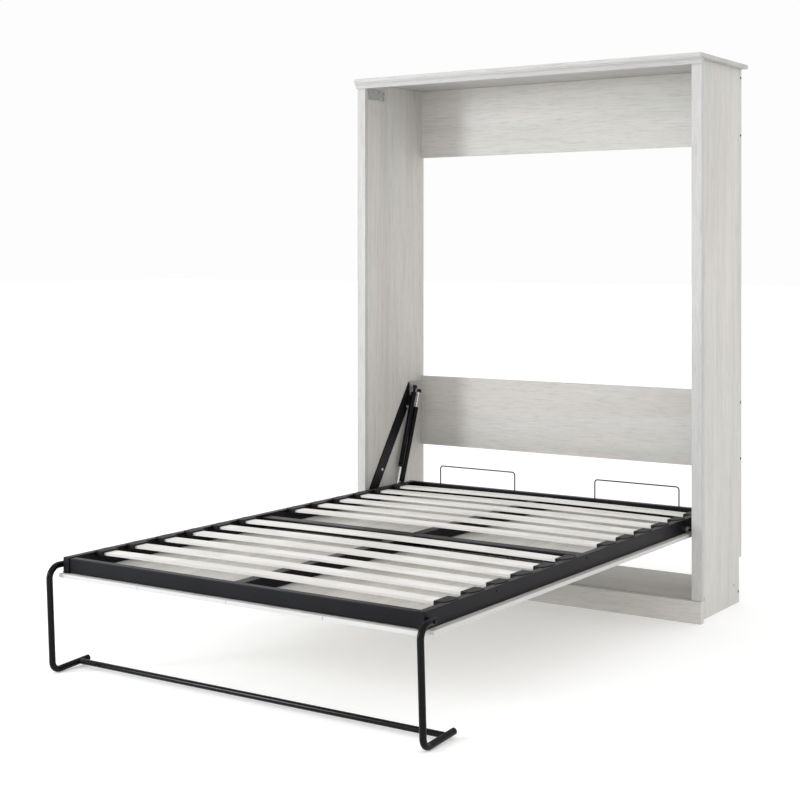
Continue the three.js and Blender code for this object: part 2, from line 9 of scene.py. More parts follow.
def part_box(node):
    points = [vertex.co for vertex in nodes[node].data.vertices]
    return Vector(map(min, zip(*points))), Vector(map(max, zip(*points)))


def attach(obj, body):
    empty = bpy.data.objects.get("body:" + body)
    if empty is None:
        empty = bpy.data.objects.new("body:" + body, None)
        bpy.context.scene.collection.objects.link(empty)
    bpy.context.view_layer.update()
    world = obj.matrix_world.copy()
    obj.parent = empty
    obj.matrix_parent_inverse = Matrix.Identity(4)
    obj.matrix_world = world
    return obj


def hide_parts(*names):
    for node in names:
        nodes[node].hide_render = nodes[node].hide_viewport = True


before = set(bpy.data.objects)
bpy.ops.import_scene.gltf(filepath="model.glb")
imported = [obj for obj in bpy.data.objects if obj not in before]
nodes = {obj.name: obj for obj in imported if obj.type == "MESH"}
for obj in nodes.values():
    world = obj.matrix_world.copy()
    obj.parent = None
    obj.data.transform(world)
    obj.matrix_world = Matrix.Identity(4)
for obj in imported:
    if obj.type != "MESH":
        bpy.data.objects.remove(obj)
scene = bpy.context.scene
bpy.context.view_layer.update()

# Places taken from the frame. Cabinet depths are counted from the front face of its stiles.
FRONT_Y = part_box("front_stile_left")[0].y
RAIL_FACE_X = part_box("side_rail_right")[1].x
RAIL_TOP_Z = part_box("side_rail_right")[1].z
PANEL_OUTER_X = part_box("side_panel_right")[1].x
PLATE_THICK = 0.005
PLATE_INNER_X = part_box("pivot_plate_right")[1].x - PLATE_THICK
SIDES = ((-1, "left"), (1, "right"))


def place(x, depth, z):
    """A point from its x, its depth behind the cabinet's front face and its height."""
    return Vector((x, FRONT_Y + depth, z))


# ---------------------------------------------------------------- shader helpers


class Graph:
    """A short way to add shader nodes and link them."""

    # Each object's texture is moved by its random number times this.
    SPREAD = (3.1, 5.7, 7.3)
    # Sockets of a Mix node for colours, by number, because several of them share a name.
    MIX_FACTOR, MIX_A, MIX_B, MIX_RESULT = 0, 6, 7, 2

    def __init__(self, name):
        self.material = bpy.data.materials.new(name)
        self.material.use_nodes = True
        self.tree = self.material.node_tree
        self.shader = self.tree.nodes["Principled BSDF"]

    def add(self, kind, **inputs):
        node = self.tree.nodes.new(kind)
        for key, value in inputs.items():
            self.set(node, key.replace("_", " "), value)
        return node

    def set(self, node, socket, value):
        target = node.inputs[socket]
        if isinstance(value, bpy.types.NodeSocket):
            self.tree.links.new(value, target)
        else:
            target.default_value = value

    def mapped(self, scale):
        """Object coordinates stretched by scale, with a random shift for each object."""
        coords = self.add("ShaderNodeTexCoord")
        info = self.add("ShaderNodeObjectInfo")
        spread = self.add("ShaderNodeVectorMath")
        spread.operation = "MULTIPLY_ADD"
        self.set(spread, 0, info.outputs["Random"])
        self.set(spread, 1, self.SPREAD)
        self.set(spread, 2, coords.outputs["Object"])
        mapping = self.add("ShaderNodeMapping", Scale=scale)
        self.set(mapping, "Vector", spread.outputs[0])
        return mapping.outputs["Vector"]

    def noise(self, vector, scale=1.0, detail=4.0, roughness=0.55, distortion=0.0):
        node = self.add("ShaderNodeTexNoise", Scale=scale, Detail=detail, Roughness=roughness)
        self.set(node, "Distortion", distortion)
        self.set(node, "Vector", vector)
        return node.outputs["Fac"]

    def ramp(self, value, *stops):
        """A colour ramp; each stop is (position, colour or grey level)."""
        node = self.add("ShaderNodeValToRGB")
        self.set(node, "Fac", value)
        elements = node.color_ramp.elements
        while len(elements) < len(stops):
            elements.new(0.5)
        for element, (position, colour) in zip(elements, stops):
            element.position = position
            level = colour if isinstance(colour, tuple) else (colour, colour, colour)
            element.color = (*level, 1.0)
        return node.outputs["Color"]

    def mix(self, kind, factor, first, second):
        """Blends two colours; kind is the blend type."""
        node = self.add("ShaderNodeMix")
        node.data_type = "RGBA"
        node.blend_type = kind
        self.set(node, self.MIX_FACTOR, factor)
        for index, value in ((self.MIX_A, first), (self.MIX_B, second)):
            if isinstance(value, tuple):
                value = (*value, 1.0)
            self.set(node, index, value)
        return node.outputs[self.MIX_RESULT]

    def bump(self, height, strength, distance, below=None):
        """A bump normal, laid over another one where below is given."""
        node = self.add("ShaderNodeBump", Strength=strength, Distance=distance)
        self.set(node, "Height", height)
        if below is not None:
            self.set(node, "Normal", below)
        return node.outputs["Normal"]

    def finish(self, colour, roughness, normal=None, **constants):
        """Links the shader's inputs, sets its constants and returns the material."""
        self.set(self.shader, "Base Color", colour)
        self.set(self.shader, "Roughness", roughness)
        if normal is not None:
            self.set(self.shader, "Normal", normal)
        for key, value in constants.items():
            self.shader.inputs[key.replace("_", " ")].default_value = value
        return self.material


def along(axis, length, width):
    """Texture scale with low frequency along an axis and high frequency across it."""
    return tuple(length if i == axis else width for i in range(3))


# ---------------------------------------------------------------- materials


def washed_wood(name, axis, pale, shade, flecks, edge=None):
    """White-washed laminate with grain along an axis (0 = x, 1 = y, 2 = z).

    The flecks are (frequency along the grain, frequency across it). An edge colour goes on the
    upright faces of a board as painted shade, darker than its tops to tone down their light.
    """
    g = Graph(name)
    broad = g.noise(g.mapped(along(axis, 0.8, 9.0)), detail=4.0, roughness=0.55, distortion=0.4)
    cast = g.noise(g.mapped(along(axis, 0.7, 11.0)), detail=2.0)
    streak = g.noise(g.mapped(along(axis, *flecks)), detail=5.0, roughness=0.62, distortion=0.9)
    fibre = g.noise(g.mapped(along(axis, 14.0, 460.0)), detail=3.0, roughness=0.6)
    base = g.ramp(broad, (0.30, shade), (0.68, pale))
    greenish, neutral, pinkish = (0.975, 1.0, 0.975), (1.0, 1.0, 1.0), (1.0, 0.975, 0.968)
    tints = g.ramp(cast, (0.35, greenish), (0.50, neutral), (0.66, pinkish))
    base = g.mix("MULTIPLY", 1.0, base, tints)
    streaks = g.ramp(streak, (0.32, 0.86), (0.45, 0.965), (0.60, 1.0))
    base = g.mix("MULTIPLY", 0.95, base, streaks)
    pores = g.ramp(fibre, (0.32, (0.78, 0.77, 0.75)), (0.47, neutral))
    colour = g.mix("MULTIPLY", 0.8, base, pores)
    # Painted shade: where given, the edge tone replaces the grain on the upright faces, to tone down the
    # light they catch against the tops.
    if edge:
        facing = g.add("ShaderNodeSeparateXYZ")
        g.set(facing, 0, g.add("ShaderNodeTexCoord").outputs["Normal"])
        height = g.add("ShaderNodeMath")
        height.operation = "ABSOLUTE"
        g.set(height, 0, facing.outputs["Z"])
        painted_edge_shade_mask = g.ramp(height.outputs[0], (0.35, 0.0), (0.65, 1.0))
        colour = g.mix("MIX", painted_edge_shade_mask, edge, colour)
    rough = g.ramp(streak, (0.3, 0.62), (0.7, 0.48))
    normal = g.bump(fibre, 0.25, 0.0004)
    normal = g.bump(streak, 0.15, 0.0006, below=normal)
    return g.finish(colour, rough, normal, Specular_IOR_Level=0.32)


def slat_wood():
    """Pale birch strip: long soft grain on top and thin plies along its edges."""
    g = Graph("slat_birch")
    broad = g.noise(g.mapped((1.6, 26.0, 26.0)), detail=5.0, roughness=0.6, distortion=0.8)
    fibre = g.noise(g.mapped((9.0, 420.0, 420.0)), detail=4.0, roughness=0.6)
    plies = g.noise(g.mapped((0.6, 1.2, 780.0)), detail=1.0, roughness=0.3)
    shade, middle, pale = (0.76, 0.745, 0.715), (0.83, 0.815, 0.79), (0.87, 0.86, 0.84)
    base = g.ramp(broad, (0.30, shade), (0.55, middle), (0.78, pale))
    lines = g.ramp(fibre, (0.34, (0.84, 0.82, 0.79)), (0.50, (1.0, 1.0, 1.0)))
    colour = g.mix("MULTIPLY", 0.7, base, lines)
    layers = g.ramp(plies, (0.42, (0.78, 0.74, 0.68)), (0.52, (1.0, 1.0, 1.0)))
    colour = g.mix("MULTIPLY", 0.35, colour, layers)
    rough = g.ramp(fibre, (0.3, 0.66), (0.7, 0.5))
    return g.finish(colour, rough, g.bump(fibre, 0.25, 0.0003), Specular_IOR_Level=0.3)


def powder_coat(name, dark, light, gloss, rough_low, rough_high):
    """Black powder coat with a fine orange-peel surface and a slight haze in its tone."""
    g = Graph(name)
    vector = g.mapped((1.0, 1.0, 1.0))
    cloud = g.noise(vector, scale=7.0, detail=5.0, roughness=0.6)
    peel = g.noise(vector, scale=850.0, detail=2.0, roughness=0.5)
    speck = g.noise(vector, scale=160.0, detail=3.0, roughness=0.7)
    base = g.ramp(cloud, (0.3, dark), (0.75, light))
    dust = g.ramp(speck, (0.62, (0.0, 0.0, 0.0)), (0.80, (0.02, 0.02, 0.021)))
    colour = g.mix("ADD", 0.35, base, dust)
    rough = g.ramp(cloud, (0.3, rough_low), (0.75, rough_high))
    normal = g.bump(peel, 0.15, 0.00025)
    return g.finish(colour, rough, normal, Specular_IOR_Level=gloss)


def moulded_plastic():
    """Black plastic with a fine moulded grain."""
    g = Graph("holder_plastic")
    vector = g.mapped((1.0, 1.0, 1.0))
    grain = g.noise(vector, scale=1300.0, detail=2.0)
    cloud = g.noise(vector, scale=22.0, detail=3.0)
    colour = g.ramp(cloud, (0.3, (0.007, 0.0072, 0.0085)), (0.7, (0.014, 0.0145, 0.016)))
    rough = g.ramp(cloud, (0.3, 0.50), (0.7, 0.62))
    return g.finish(colour, rough, g.bump(grain, 0.25, 0.0002), Specular_IOR_Level=0.22)


def zinc():
    """Zinc plating with a faint spangle and brushed scratches."""
    g = Graph("zinc_plate")
    vector = g.mapped((1.0, 1.0, 1.0))
    spangle = g.noise(vector, scale=90.0, detail=3.0, roughness=0.6)
    scratch = g.noise(g.mapped((900.0, 30.0, 900.0)), detail=2.0)
    colour = g.ramp(spangle, (0.3, (0.55, 0.56, 0.57)), (0.7, (0.74, 0.75, 0.76)))
    rough = g.ramp(spangle, (0.3, 0.42), (0.7, 0.28))
    return g.finish(colour, rough, g.bump(scratch, 0.1, 0.0002), Metallic=1.0)


def polished_rod():
    """Ground and polished steel with a slight haze."""
    g = Graph("polished_rod")
    vector = g.mapped((1.0, 1.0, 1.0))
    haze = g.noise(vector, scale=40.0, detail=3.0)
    colour = g.ramp(haze, (0.3, (0.72, 0.73, 0.75)), (0.7, (0.80, 0.81, 0.82)))
    rough = g.ramp(haze, (0.3, 0.10), (0.7, 0.18))
    return g.finish(colour, rough, g.bump(haze, 0.02, 0.0001), Metallic=1.0)


def cap_plastic():
    """The grey plastic of the screw caps."""
    g = Graph("screw_cap_plastic")
    haze = g.noise(g.mapped((1.0, 1.0, 1.0)), scale=300.0, detail=2.0)
    colour = g.ramp(haze, (0.3, (0.42, 0.42, 0.40)), (0.7, (0.50, 0.50, 0.48)))
    return g.finish(colour, 0.55, g.bump(haze, 0.1, 0.0001))


# Pale and shaded tones of the laminate, and the scale of its flecks
PALE = (0.648, 0.635, 0.607)
SHADE = (0.566, 0.550, 0.518)
# The front tones are a darker, cooler copy of the laminate for the stiles, crown board and moulding: painted
# shade that tones down the full light they catch.
FRONT_PALE_PAINTED_SHADE = (0.556, 0.550, 0.541)
FRONT_DARK_PAINTED_SHADE = (0.470, 0.463, 0.452)
# The shelf tones are a darker copy of the laminate: painted shade for the shade the bed casts on the shelf.
SHELF_PALE_PAINTED_SHADE = (0.500, 0.490, 0.470)
SHELF_DARK_PAINTED_SHADE = (0.430, 0.418, 0.398)
BOARD_PALE = (0.74, 0.73, 0.70)
BOARD_SHADE = (0.57, 0.55, 0.515)
# The board edge tone goes on the boards' upright faces, darker than the tops: painted shade against the light
# the edges catch.
BOARD_EDGE_PAINTED_SHADE = (0.58, 0.58, 0.57)
SHORT_FLECKS = (11.0, 200.0)
LONG_FLECKS = (2.4, 96.0)
RAIL_WOOD = washed_wood("washed_rail", 0, PALE, SHADE, SHORT_FLECKS)
PANEL_WOOD = washed_wood("washed_panel", 2, PALE, SHADE, LONG_FLECKS)
# The crown and stile woods use the front tones, which hold painted shade.
CROWN_WOOD_PAINTED_SHADE = washed_wood("washed_crown_painted_shade", 0, FRONT_PALE_PAINTED_SHADE, FRONT_DARK_PAINTED_SHADE, SHORT_FLECKS)
STILE_WOOD_PAINTED_SHADE = washed_wood("washed_stile_painted_shade", 2, FRONT_PALE_PAINTED_SHADE, FRONT_DARK_PAINTED_SHADE, SHORT_FLECKS)
# The shelf wood uses the shelf tones, which hold painted shade.
SHELF_WOOD_PAINTED_SHADE = washed_wood("washed_shelf_painted_shade", 0, SHELF_PALE_PAINTED_SHADE, SHELF_DARK_PAINTED_SHADE, SHORT_FLECKS)
# The board wood carries painted shade on its upright faces.
BOARD_WOOD_PAINTED_EDGE_SHADE = washed_wood("washed_board_painted_edge_shade", 1, BOARD_PALE, BOARD_SHADE, LONG_FLECKS, BOARD_EDGE_PAINTED_SHADE)
SLAT = slat_wood()
STEEL = powder_coat(
    "black_powder_coat",
    dark=(0.004, 0.004, 0.0055),
    light=(0.008, 0.008, 0.0105),
    gloss=0.13,
    rough_low=0.34,
    rough_high=0.46,
)
TUBE_STEEL = powder_coat(
    "black_tube_coat",
    dark=(0.002, 0.002, 0.0025),
    light=(0.004, 0.004, 0.005),
    gloss=0.14,
    rough_low=0.14,
    rough_high=0.22,
)
PLASTIC = moulded_plastic()
ZINC = zinc()
ROD = polished_rod()
CAP = cap_plastic()

# ---------------------------------------------------------------- CAD nodes that stay

WELD_DISTANCE = 0.00001
EDGE_ANGLE = math.radians(40)
EDGE_SEGMENTS = 3

# Widths of the rounded edges
WOOD_EDGE = 0.0009
MOULDING_EDGE = 0.0003
SLAT_EDGE = 0.0016
RAIL_EDGE = 0.0022
PLATE_EDGE = 0.0006
ZINC_EDGE = 0.0004


def finish_node(name, material, edge):
    """Gives a CAD node its material and softly rounded edges."""
    node = nodes[name]
    custom = node.data.attributes.get("custom_normal")
    if custom:
        node.data.attributes.remove(custom)
    node.data.materials.clear()
    node.data.materials.append(material)
    weld = node.modifiers.new("weld", "WELD")
    weld.merge_threshold = WELD_DISTANCE
    rounding = node.modifiers.new("rounding", "BEVEL")
    rounding.width = edge
    rounding.segments = EDGE_SEGMENTS
    rounding.limit_method = "ANGLE"
    rounding.angle_limit = EDGE_ANGLE
    rounding.harden_normals = False


# The crown, moulding and stiles take the front wood and the shelf its own wood; both hold painted shade.
CABINET_WOOD = {
    "crown_board": CROWN_WOOD_PAINTED_SHADE,
    "crown_moulding": CROWN_WOOD_PAINTED_SHADE,
    "back_rail_upper": RAIL_WOOD,
    "back_rail_lower": RAIL_WOOD,
    "base_shelf": SHELF_WOOD_PAINTED_SHADE,
    "plinth": RAIL_WOOD,
    "side_panel_left": PANEL_WOOD,
    "side_panel_right": PANEL_WOOD,
    "front_stile_left": STILE_WOOD_PAINTED_SHADE,
    "front_stile_right": STILE_WOOD_PAINTED_SHADE,
}
BOARDS = [f"front_board_{i}" for i in range(1, 5)]
SLATS = [f"slat_{i:02d}" for i in range(1, 13)]
RAILS = ["side_rail_left", "side_rail_right", "foot_rail", "head_rail", "mid_cross_rail"]
RAILS += ["centre_rail_foot", "centre_rail_head"]

for name, material in CABINET_WOOD.items():
    finish_node(name, material, MOULDING_EDGE if name == "crown_moulding" else WOOD_EDGE)
for name in BOARDS:
    finish_node(name, BOARD_WOOD_PAINTED_EDGE_SHADE, WOOD_EDGE)
for name in SLATS:
    finish_node(name, SLAT, SLAT_EDGE)
for name in RAILS:
    finish_node(name, STEEL, RAIL_EDGE)
for side, label in SIDES:
    finish_node(f"pivot_plate_{label}", STEEL, PLATE_EDGE)
    finish_node(f"leg_bolt_{label}", STEEL, PLATE_EDGE)
    finish_node(f"strut_bracket_{label}", ZINC, ZINC_EDGE)
    finish_node(f"strut_stud_plate_{label}", ZINC, ZINC_EDGE)
    finish_node(f"pivot_bush_{label}", ZINC, ZINC_EDGE)
finish_node("catch_plate", ZINC, ZINC_EDGE)

# ---------------------------------------------------------------- mesh helpers

SMOOTH_ANGLE = math.radians(38)
# Points of a turned body never come closer to its axis than this.
AXIS_RADIUS = 1e-5


def make_piece(name, vertices, faces, material, body, slot, replaced=()):
    """A new mesh piece that rides on a body and stands for the listed CAD nodes."""
    mesh = bpy.data.meshes.new(name)
    mesh.from_pydata([tuple(v) for v in vertices], [], faces)
    mesh.validate()
    cleaned = bmesh.new()
    cleaned.from_mesh(mesh)
    bmesh.ops.recalc_face_normals(cleaned, faces=cleaned.faces)
    cleaned.to_mesh(mesh)
    cleaned.free()
    mesh.materials.append(material)
    piece = bpy.data.objects.new(name, mesh)
    scene.collection.objects.link(piece)
    mesh.shade_smooth()
    mesh.set_sharp_from_angle(angle=SMOOTH_ANGLE)
    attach(piece, body)
    if replaced:
        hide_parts(*replaced)
    return piece


def skin(rows, count):
    """Faces of a closed skin over rows of count points each, with a cap at each end."""
    faces = []
    for row in range(rows - 1):
        near, far = row * count, (row + 1) * count
        for i in range(count):
            j = (i + 1) % count
            faces.append((near + i, near + j, far + j, far + i))
    last = (rows - 1) * count
    faces.append(tuple(range(count))[::-1])
    faces.append(tuple(last + i for i in range(count)))
    return faces


def turned(profile, start, end, segments=40):
    """A body turned round the line from start to end; its profile is (radius, distance along)."""
    axis = (end - start).normalized()
    side = axis.orthogonal().normalized()
    up = axis.cross(side)
    vertices = []
    for radius, distance in profile:
        for i in range(segments):
            angle = 2 * math.pi * i / segments
            ring = side * math.cos(angle) + up * math.sin(angle)
            vertices.append(start + axis * distance + ring * max(radius, AXIS_RADIUS))
    return vertices, skin(len(profile), segments)


def merged(parts):
    """Joins several (vertices, faces) parts into one."""
    vertices, faces = [], []
    for part_vertices, part_faces in parts:
        offset = len(vertices)
        vertices.extend(part_vertices)
        faces.extend(tuple(offset + i for i in face) for face in part_faces)
    return vertices, faces


def bent_path(corners, radii, step):
    """Points along straight lines with a round bend at each inner corner."""
    points = [corners[0]]
    for before, corner, after, radius in zip(corners, corners[1:], corners[2:], radii):
        back = (before - corner).normalized()
        ahead = (after - corner).normalized()
        half = back.angle(ahead) / 2
        centre = corner + (back + ahead).normalized() * (radius / math.sin(half))
        first = corner + back * (radius / math.tan(half)) - centre
        last = corner + ahead * (radius / math.tan(half)) - centre
        total = first.angle(last)
        axis = first.cross(last).normalized()
        count = max(2, int(round(total / step)))
        for i in range(count + 1):
            points.append(centre + Matrix.Rotation(total * i / count, 3, axis) @ first)
    points.append(corners[-1])
    return points


def tube(points, radius, segments=32, rim=0.0006):
    """A round tube along points, with softly rounded ends."""
    side = (points[1] - points[0]).normalized().orthogonal().normalized()
    rings = []
    for i, point in enumerate(points):
        ahead = points[min(i + 1, len(points) - 1)] - point
        back = point - points[max(i - 1, 0)]
        tangent = (ahead.normalized() + back.normalized()).normalized()
        side = (side - tangent * side.dot(tangent)).normalized()
        rings.append((point, tangent, side.copy()))
    first, last = rings[0], rings[-1]
    rings.insert(1, (first[0] + first[1] * rim, first[1], first[2]))
    rings.insert(len(rings) - 1, (last[0] - last[1] * rim, last[1], last[2]))
    vertices = []
    for index, (point, tangent, across) in enumerate(rings):
        size = radius - rim if index in (0, len(rings) - 1) else radius
        up = tangent.cross(across)
        for i in range(segments):
            angle = 2 * math.pi * i / segments
            vertices.append(point + (across * math.cos(angle) + up * math.sin(angle)) * size)
    return vertices, skin(len(rings), segments)


# ---------------------------------------------------------------- leg

LEG_X = 0.705
LEG_RADIUS = 0.010
# The leg's centre line, as (depth, z) from its bolt down to its foot
LEG_CORNERS = [(-1.588, 0.337), (-1.6592, 0.337), (-1.6444, 0.0083), (-1.498, 0.018)]
LEG_BENDS = (0.038, 0.028)
LEG_BEND_STEP = math.radians(4)
PLUG_PROFILE = [(0.0, -0.002), (0.0078, -0.002), (0.0084, 0.0), (0.0080, 0.0002), (0.0, 0.0002)]
BAR_DEPTH, BAR_HEIGHT, BAR_RADIUS = -1.537, 0.0164, 0.0088
BAR_OVERLAP = 0.0012

for side, label in SIDES:
    corners = [place(side * LEG_X, depth, z) for depth, z in LEG_CORNERS]
    leg = tube(bent_path(corners, LEG_BENDS, LEG_BEND_STEP), LEG_RADIUS)
    make_piece(f"leg_tube_{label}", *leg, TUBE_STEEL, "leg_frame", "black_steel", [f"leg_{label}"])
    end = corners[-1]
    plug = turned(PLUG_PROFILE, end, end + (end - corners[-2]).normalized())
    make_piece(f"leg_plug_{label}", *plug, PLASTIC, "leg_frame", "black_plastic")

bar_end = LEG_X - LEG_RADIUS + BAR_OVERLAP
bar = tube([place(x, BAR_DEPTH, BAR_HEIGHT) for x in (-bar_end, bar_end)], BAR_RADIUS)
make_piece("leg_bar", *bar, TUBE_STEEL, "leg_frame", "black_steel", ["leg_crossbar"])

# ---------------------------------------------------------------- mattress hoops

HOOP_RADIUS = 0.0025
HOOP_BENDS = (0.012, 0.012)
HOOP_BEND_STEP = math.radians(9)
HOOP_SEGMENTS = 20
HOOP_RIM = 0.0003

for _, label in SIDES:
    node = f"mattress_hoop_{label}"
    low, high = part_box(node)
    x0, x1 = low.x + HOOP_RADIUS, high.x - HOOP_RADIUS
    y, top = (low.y + high.y) / 2, high.z - HOOP_RADIUS
    corners = [Vector((x, y, z)) for x, z in ((x0, low.z), (x0, top), (x1, top), (x1, low.z))]
    path = bent_path(corners, HOOP_BENDS, HOOP_BEND_STEP)
    wire = tube(path, HOOP_RADIUS, HOOP_SEGMENTS, HOOP_RIM)
    make_piece(f"hoop_wire_{label}", *wire, TUBE_STEEL, "bed_frame", "black_steel", [node])

# ---------------------------------------------------------------- gas struts

STRUT_X = 0.704
# The middles of a strut's two ball sockets, each as (depth, z): the upper one, then the lower one
STRUT_ENDS = {"a": ((0.322, 0.753), (0.190, 0.340)), "b": ((0.352, 0.733), (0.219, 0.340))}
BODY_START, BODY_LENGTH, BODY_RADIUS = 0.024, 0.320, 0.011
BODY_STOP = BODY_START + BODY_LENGTH
ROD_RADIUS, ROD_LENGTH, ROD_SEGMENTS = 0.004, 0.333, 28
BORE_RADIUS, BORE_DEPTH = 0.0043, 0.012
STEM_START, STEM_RADIUS, WAIST_RADIUS = 0.002, 0.0055, 0.0042
FERRULE_RADIUS = 0.0056
SHOULDER_RADIUS = 0.0088
GROOVE_RADIUS = BODY_RADIUS - 0.0007
SOCKET_RADIUS, SOCKET_HALF = 0.008, 0.007
SOCKET_WIDTH = 2 * SOCKET_HALF
SOCKET_FACE_RADIUS = SOCKET_RADIUS - 0.0014
SOCKET_RIM_RADIUS = SOCKET_RADIUS - 0.0004

# Profiles are (radius, distance along). The cylinder's starts with the stem at its socket, then has
# the shell with a groove near its mouth, and ends in the bore for the rod.
BODY_PROFILE = [
    (0.0, STEM_START),
    (STEM_RADIUS, STEM_START),
    (STEM_RADIUS, BODY_START - 0.006),
    (WAIST_RADIUS, BODY_START - 0.005),
    (WAIST_RADIUS, BODY_START - 0.002),
    (SHOULDER_RADIUS, BODY_START - 0.001),
    (BODY_RADIUS - 0.0006, BODY_START + 0.001),
    (BODY_RADIUS, BODY_START + 0.003),
    (BODY_RADIUS, BODY_STOP - 0.010),
    (GROOVE_RADIUS, BODY_STOP - 0.009),
    (GROOVE_RADIUS, BODY_STOP - 0.007),
    (BODY_RADIUS, BODY_STOP - 0.006),
    (BODY_RADIUS, BODY_STOP - 0.002),
    (BODY_RADIUS - 0.002, BODY_STOP),
    (BORE_RADIUS, BODY_STOP),
    (BORE_RADIUS, BODY_STOP - BORE_DEPTH),
    (0.0, BODY_STOP - BORE_DEPTH),
]
ROD_PROFILE = [
    (0.0, STEM_START),
    (FERRULE_RADIUS, STEM_START),
    (FERRULE_RADIUS, 0.015),
    (WAIST_RADIUS, 0.0165),
    (ROD_RADIUS, 0.018),
    (ROD_RADIUS, ROD_LENGTH - 0.0005),
    (ROD_RADIUS - 0.0005, ROD_LENGTH),
    (0.0, ROD_LENGTH),
]
SOCKET_PROFILE = [
    (0.0, 0.0),
    (SOCKET_FACE_RADIUS, 0.0),
    (SOCKET_RIM_RADIUS, 0.0005),
    (SOCKET_RADIUS, 0.0014),
    (SOCKET_RADIUS, SOCKET_WIDTH - 0.0014),
    (SOCKET_RIM_RADIUS, SOCKET_WIDTH - 0.0005),
    (SOCKET_FACE_RADIUS, SOCKET_WIDTH),
    (0.0, SOCKET_WIDTH),
]


def socket_at(point):
    """The ball socket: a short barrel across the strut with rounded rims."""
    across = Vector((1, 0, 0))
    start = point - across * SOCKET_HALF
    return turned(SOCKET_PROFILE, start, start + across)


for side, label in SIDES:
    for key, (top, bottom) in STRUT_ENDS.items():
        upper = place(side * STRUT_X, *top)
        lower = place(side * STRUT_X, *bottom)
        # Strut a hangs by its cylinder and strut b by its rod.
        start, end = (upper, lower) if key == "a" else (lower, upper)
        cylinder = f"strut_cylinder_{key}_{label}"
        rod = f"strut_rod_{key}_{label}"
        shell = turned(BODY_PROFILE, start, end)
        piston = turned(ROD_PROFILE, end, start, ROD_SEGMENTS)
        make_piece(f"strut_shell_{key}_{label}", *shell, TUBE_STEEL, cylinder, "black_steel", [cylinder])
        make_piece(f"strut_socket_{key}1_{label}", *socket_at(start), PLASTIC, cylinder, "black_plastic")
        make_piece(f"strut_piston_{key}_{label}", *piston, ROD, rod, "chrome_steel", [rod])
        make_piece(f"strut_socket_{key}2_{label}", *socket_at(end), PLASTIC, rod, "black_plastic")

# ---------------------------------------------------------------- slat holders

HOLDER_INNER, HOLDER_OUTER, HOLDER_RISE = 0.640, 0.682, 0.0022
HOLDER_HALF = 0.037
INNER_HALF = HOLDER_HALF - 0.001
SOCKET_END = 0.6637
SOCKET_BOTTOM = 0.349
POCKET_END = 0.6568
POCKET_HALF = 0.0254
# How far the pocket's mouth is cut past the holder's inner edge
POCKET_MOUTH = 0.01
SLAT_THICK = 0.008
PLAY_BELOW_SLAT, PLAY_ABOVE_SLAT = 0.0003, 0.0006
# The flange starts this far above the rail, and the block ends this far above it.
FLANGE_START, BLOCK_END = 0.0003, 0.0006

# Plan of a holder as (x, y from the slat's middle). Its outside is two curves, each given by its
# start, its control point and its end.
CURVE_STEPS = 8
FRONT_CURVE = (
    (HOLDER_OUTER - 0.011, -HOLDER_HALF),
    (HOLDER_OUTER - 0.001, -0.016),
    (HOLDER_OUTER, 0.014),
)
BACK_CURVE = (
    FRONT_CURVE[2],
    (HOLDER_OUTER - 0.001, INNER_HALF),
    (HOLDER_OUTER - 0.012, HOLDER_HALF),
)
FLANGE_CENTRE_X = (HOLDER_INNER + HOLDER_OUTER) / 2 + 0.002
FLANGE_TOP = RAIL_TOP_Z + HOLDER_RISE
# Levels of the flange as (z, share of its plan)
FLANGE_LEVELS = [
    (RAIL_TOP_Z + FLANGE_START, 1.0),
    (FLANGE_TOP - 0.0009, 1.0),
    (FLANGE_TOP - 0.0003, 0.985),
    (FLANGE_TOP, 0.95),
    (FLANGE_TOP, 0.8),
]


def curve(start, control, end):
    """Points along a curve, without its start."""
    points = []
    for step in range(1, CURVE_STEPS + 1):
        t = step / CURVE_STEPS
        shares = ((1 - t) ** 2, 2 * t * (1 - t), t * t)
        x, y = (shares[0] * s + shares[1] * c + shares[2] * e for s, c, e in zip(start, control, end))
        points.append((x, y))
    return points


HOLDER_OUTLINE = [(HOLDER_INNER, -INNER_HALF), FRONT_CURVE[0]]
HOLDER_OUTLINE += curve(*FRONT_CURVE) + curve(*BACK_CURVE)
HOLDER_OUTLINE += [(HOLDER_INNER, INNER_HALF)]


def slat_place(slat):
    """The middle of a slat along the bed, and the height of its underside at the ends."""
    low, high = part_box(slat)
    return (low.y + high.y) / 2, low.z


def holder_flange(side, slat):
    """The flange of one holder, with softly rounded upper edges."""
    middle, _ = slat_place(slat)
    vertices = []
    for z, share in FLANGE_LEVELS:
        for x, y in HOLDER_OUTLINE:
            flange_x = FLANGE_CENTRE_X + (x - FLANGE_CENTRE_X) * share
            vertices.append(Vector((side * flange_x, middle + y * share, z)))
    return vertices, skin(len(FLANGE_LEVELS), len(HOLDER_OUTLINE))


def box_part(xs, ys, zs):
    """Vertices and faces of a box."""
    corners = [Vector((x, y, z)) for x in sorted(xs) for y in ys for z in zs]
    sides = [(0, 1, 3, 2), (4, 6, 7, 5), (0, 4, 5, 1), (2, 3, 7, 6), (0, 2, 6, 4), (1, 5, 7, 3)]
    return corners, sides


def combine(piece, part, operation):
    """Joins or cuts a piece with another closed shape, and applies the result."""
    vertices, faces = part
    mesh = bpy.data.meshes.new("tool")
    mesh.from_pydata([tuple(v) for v in vertices], [], faces)
    tool = bpy.data.objects.new("tool", mesh)
    scene.collection.objects.link(tool)
    step = piece.modifiers.new("combine", "BOOLEAN")
    step.operation = operation
    step.solver = "EXACT"
    step.object = tool
    bpy.context.view_layer.update()
    evaluated = piece.evaluated_get(bpy.context.evaluated_depsgraph_get())
    result = bpy.data.meshes.new_from_object(evaluated)
    piece.modifiers.clear()
    piece.data = result
    bpy.data.objects.remove(tool)


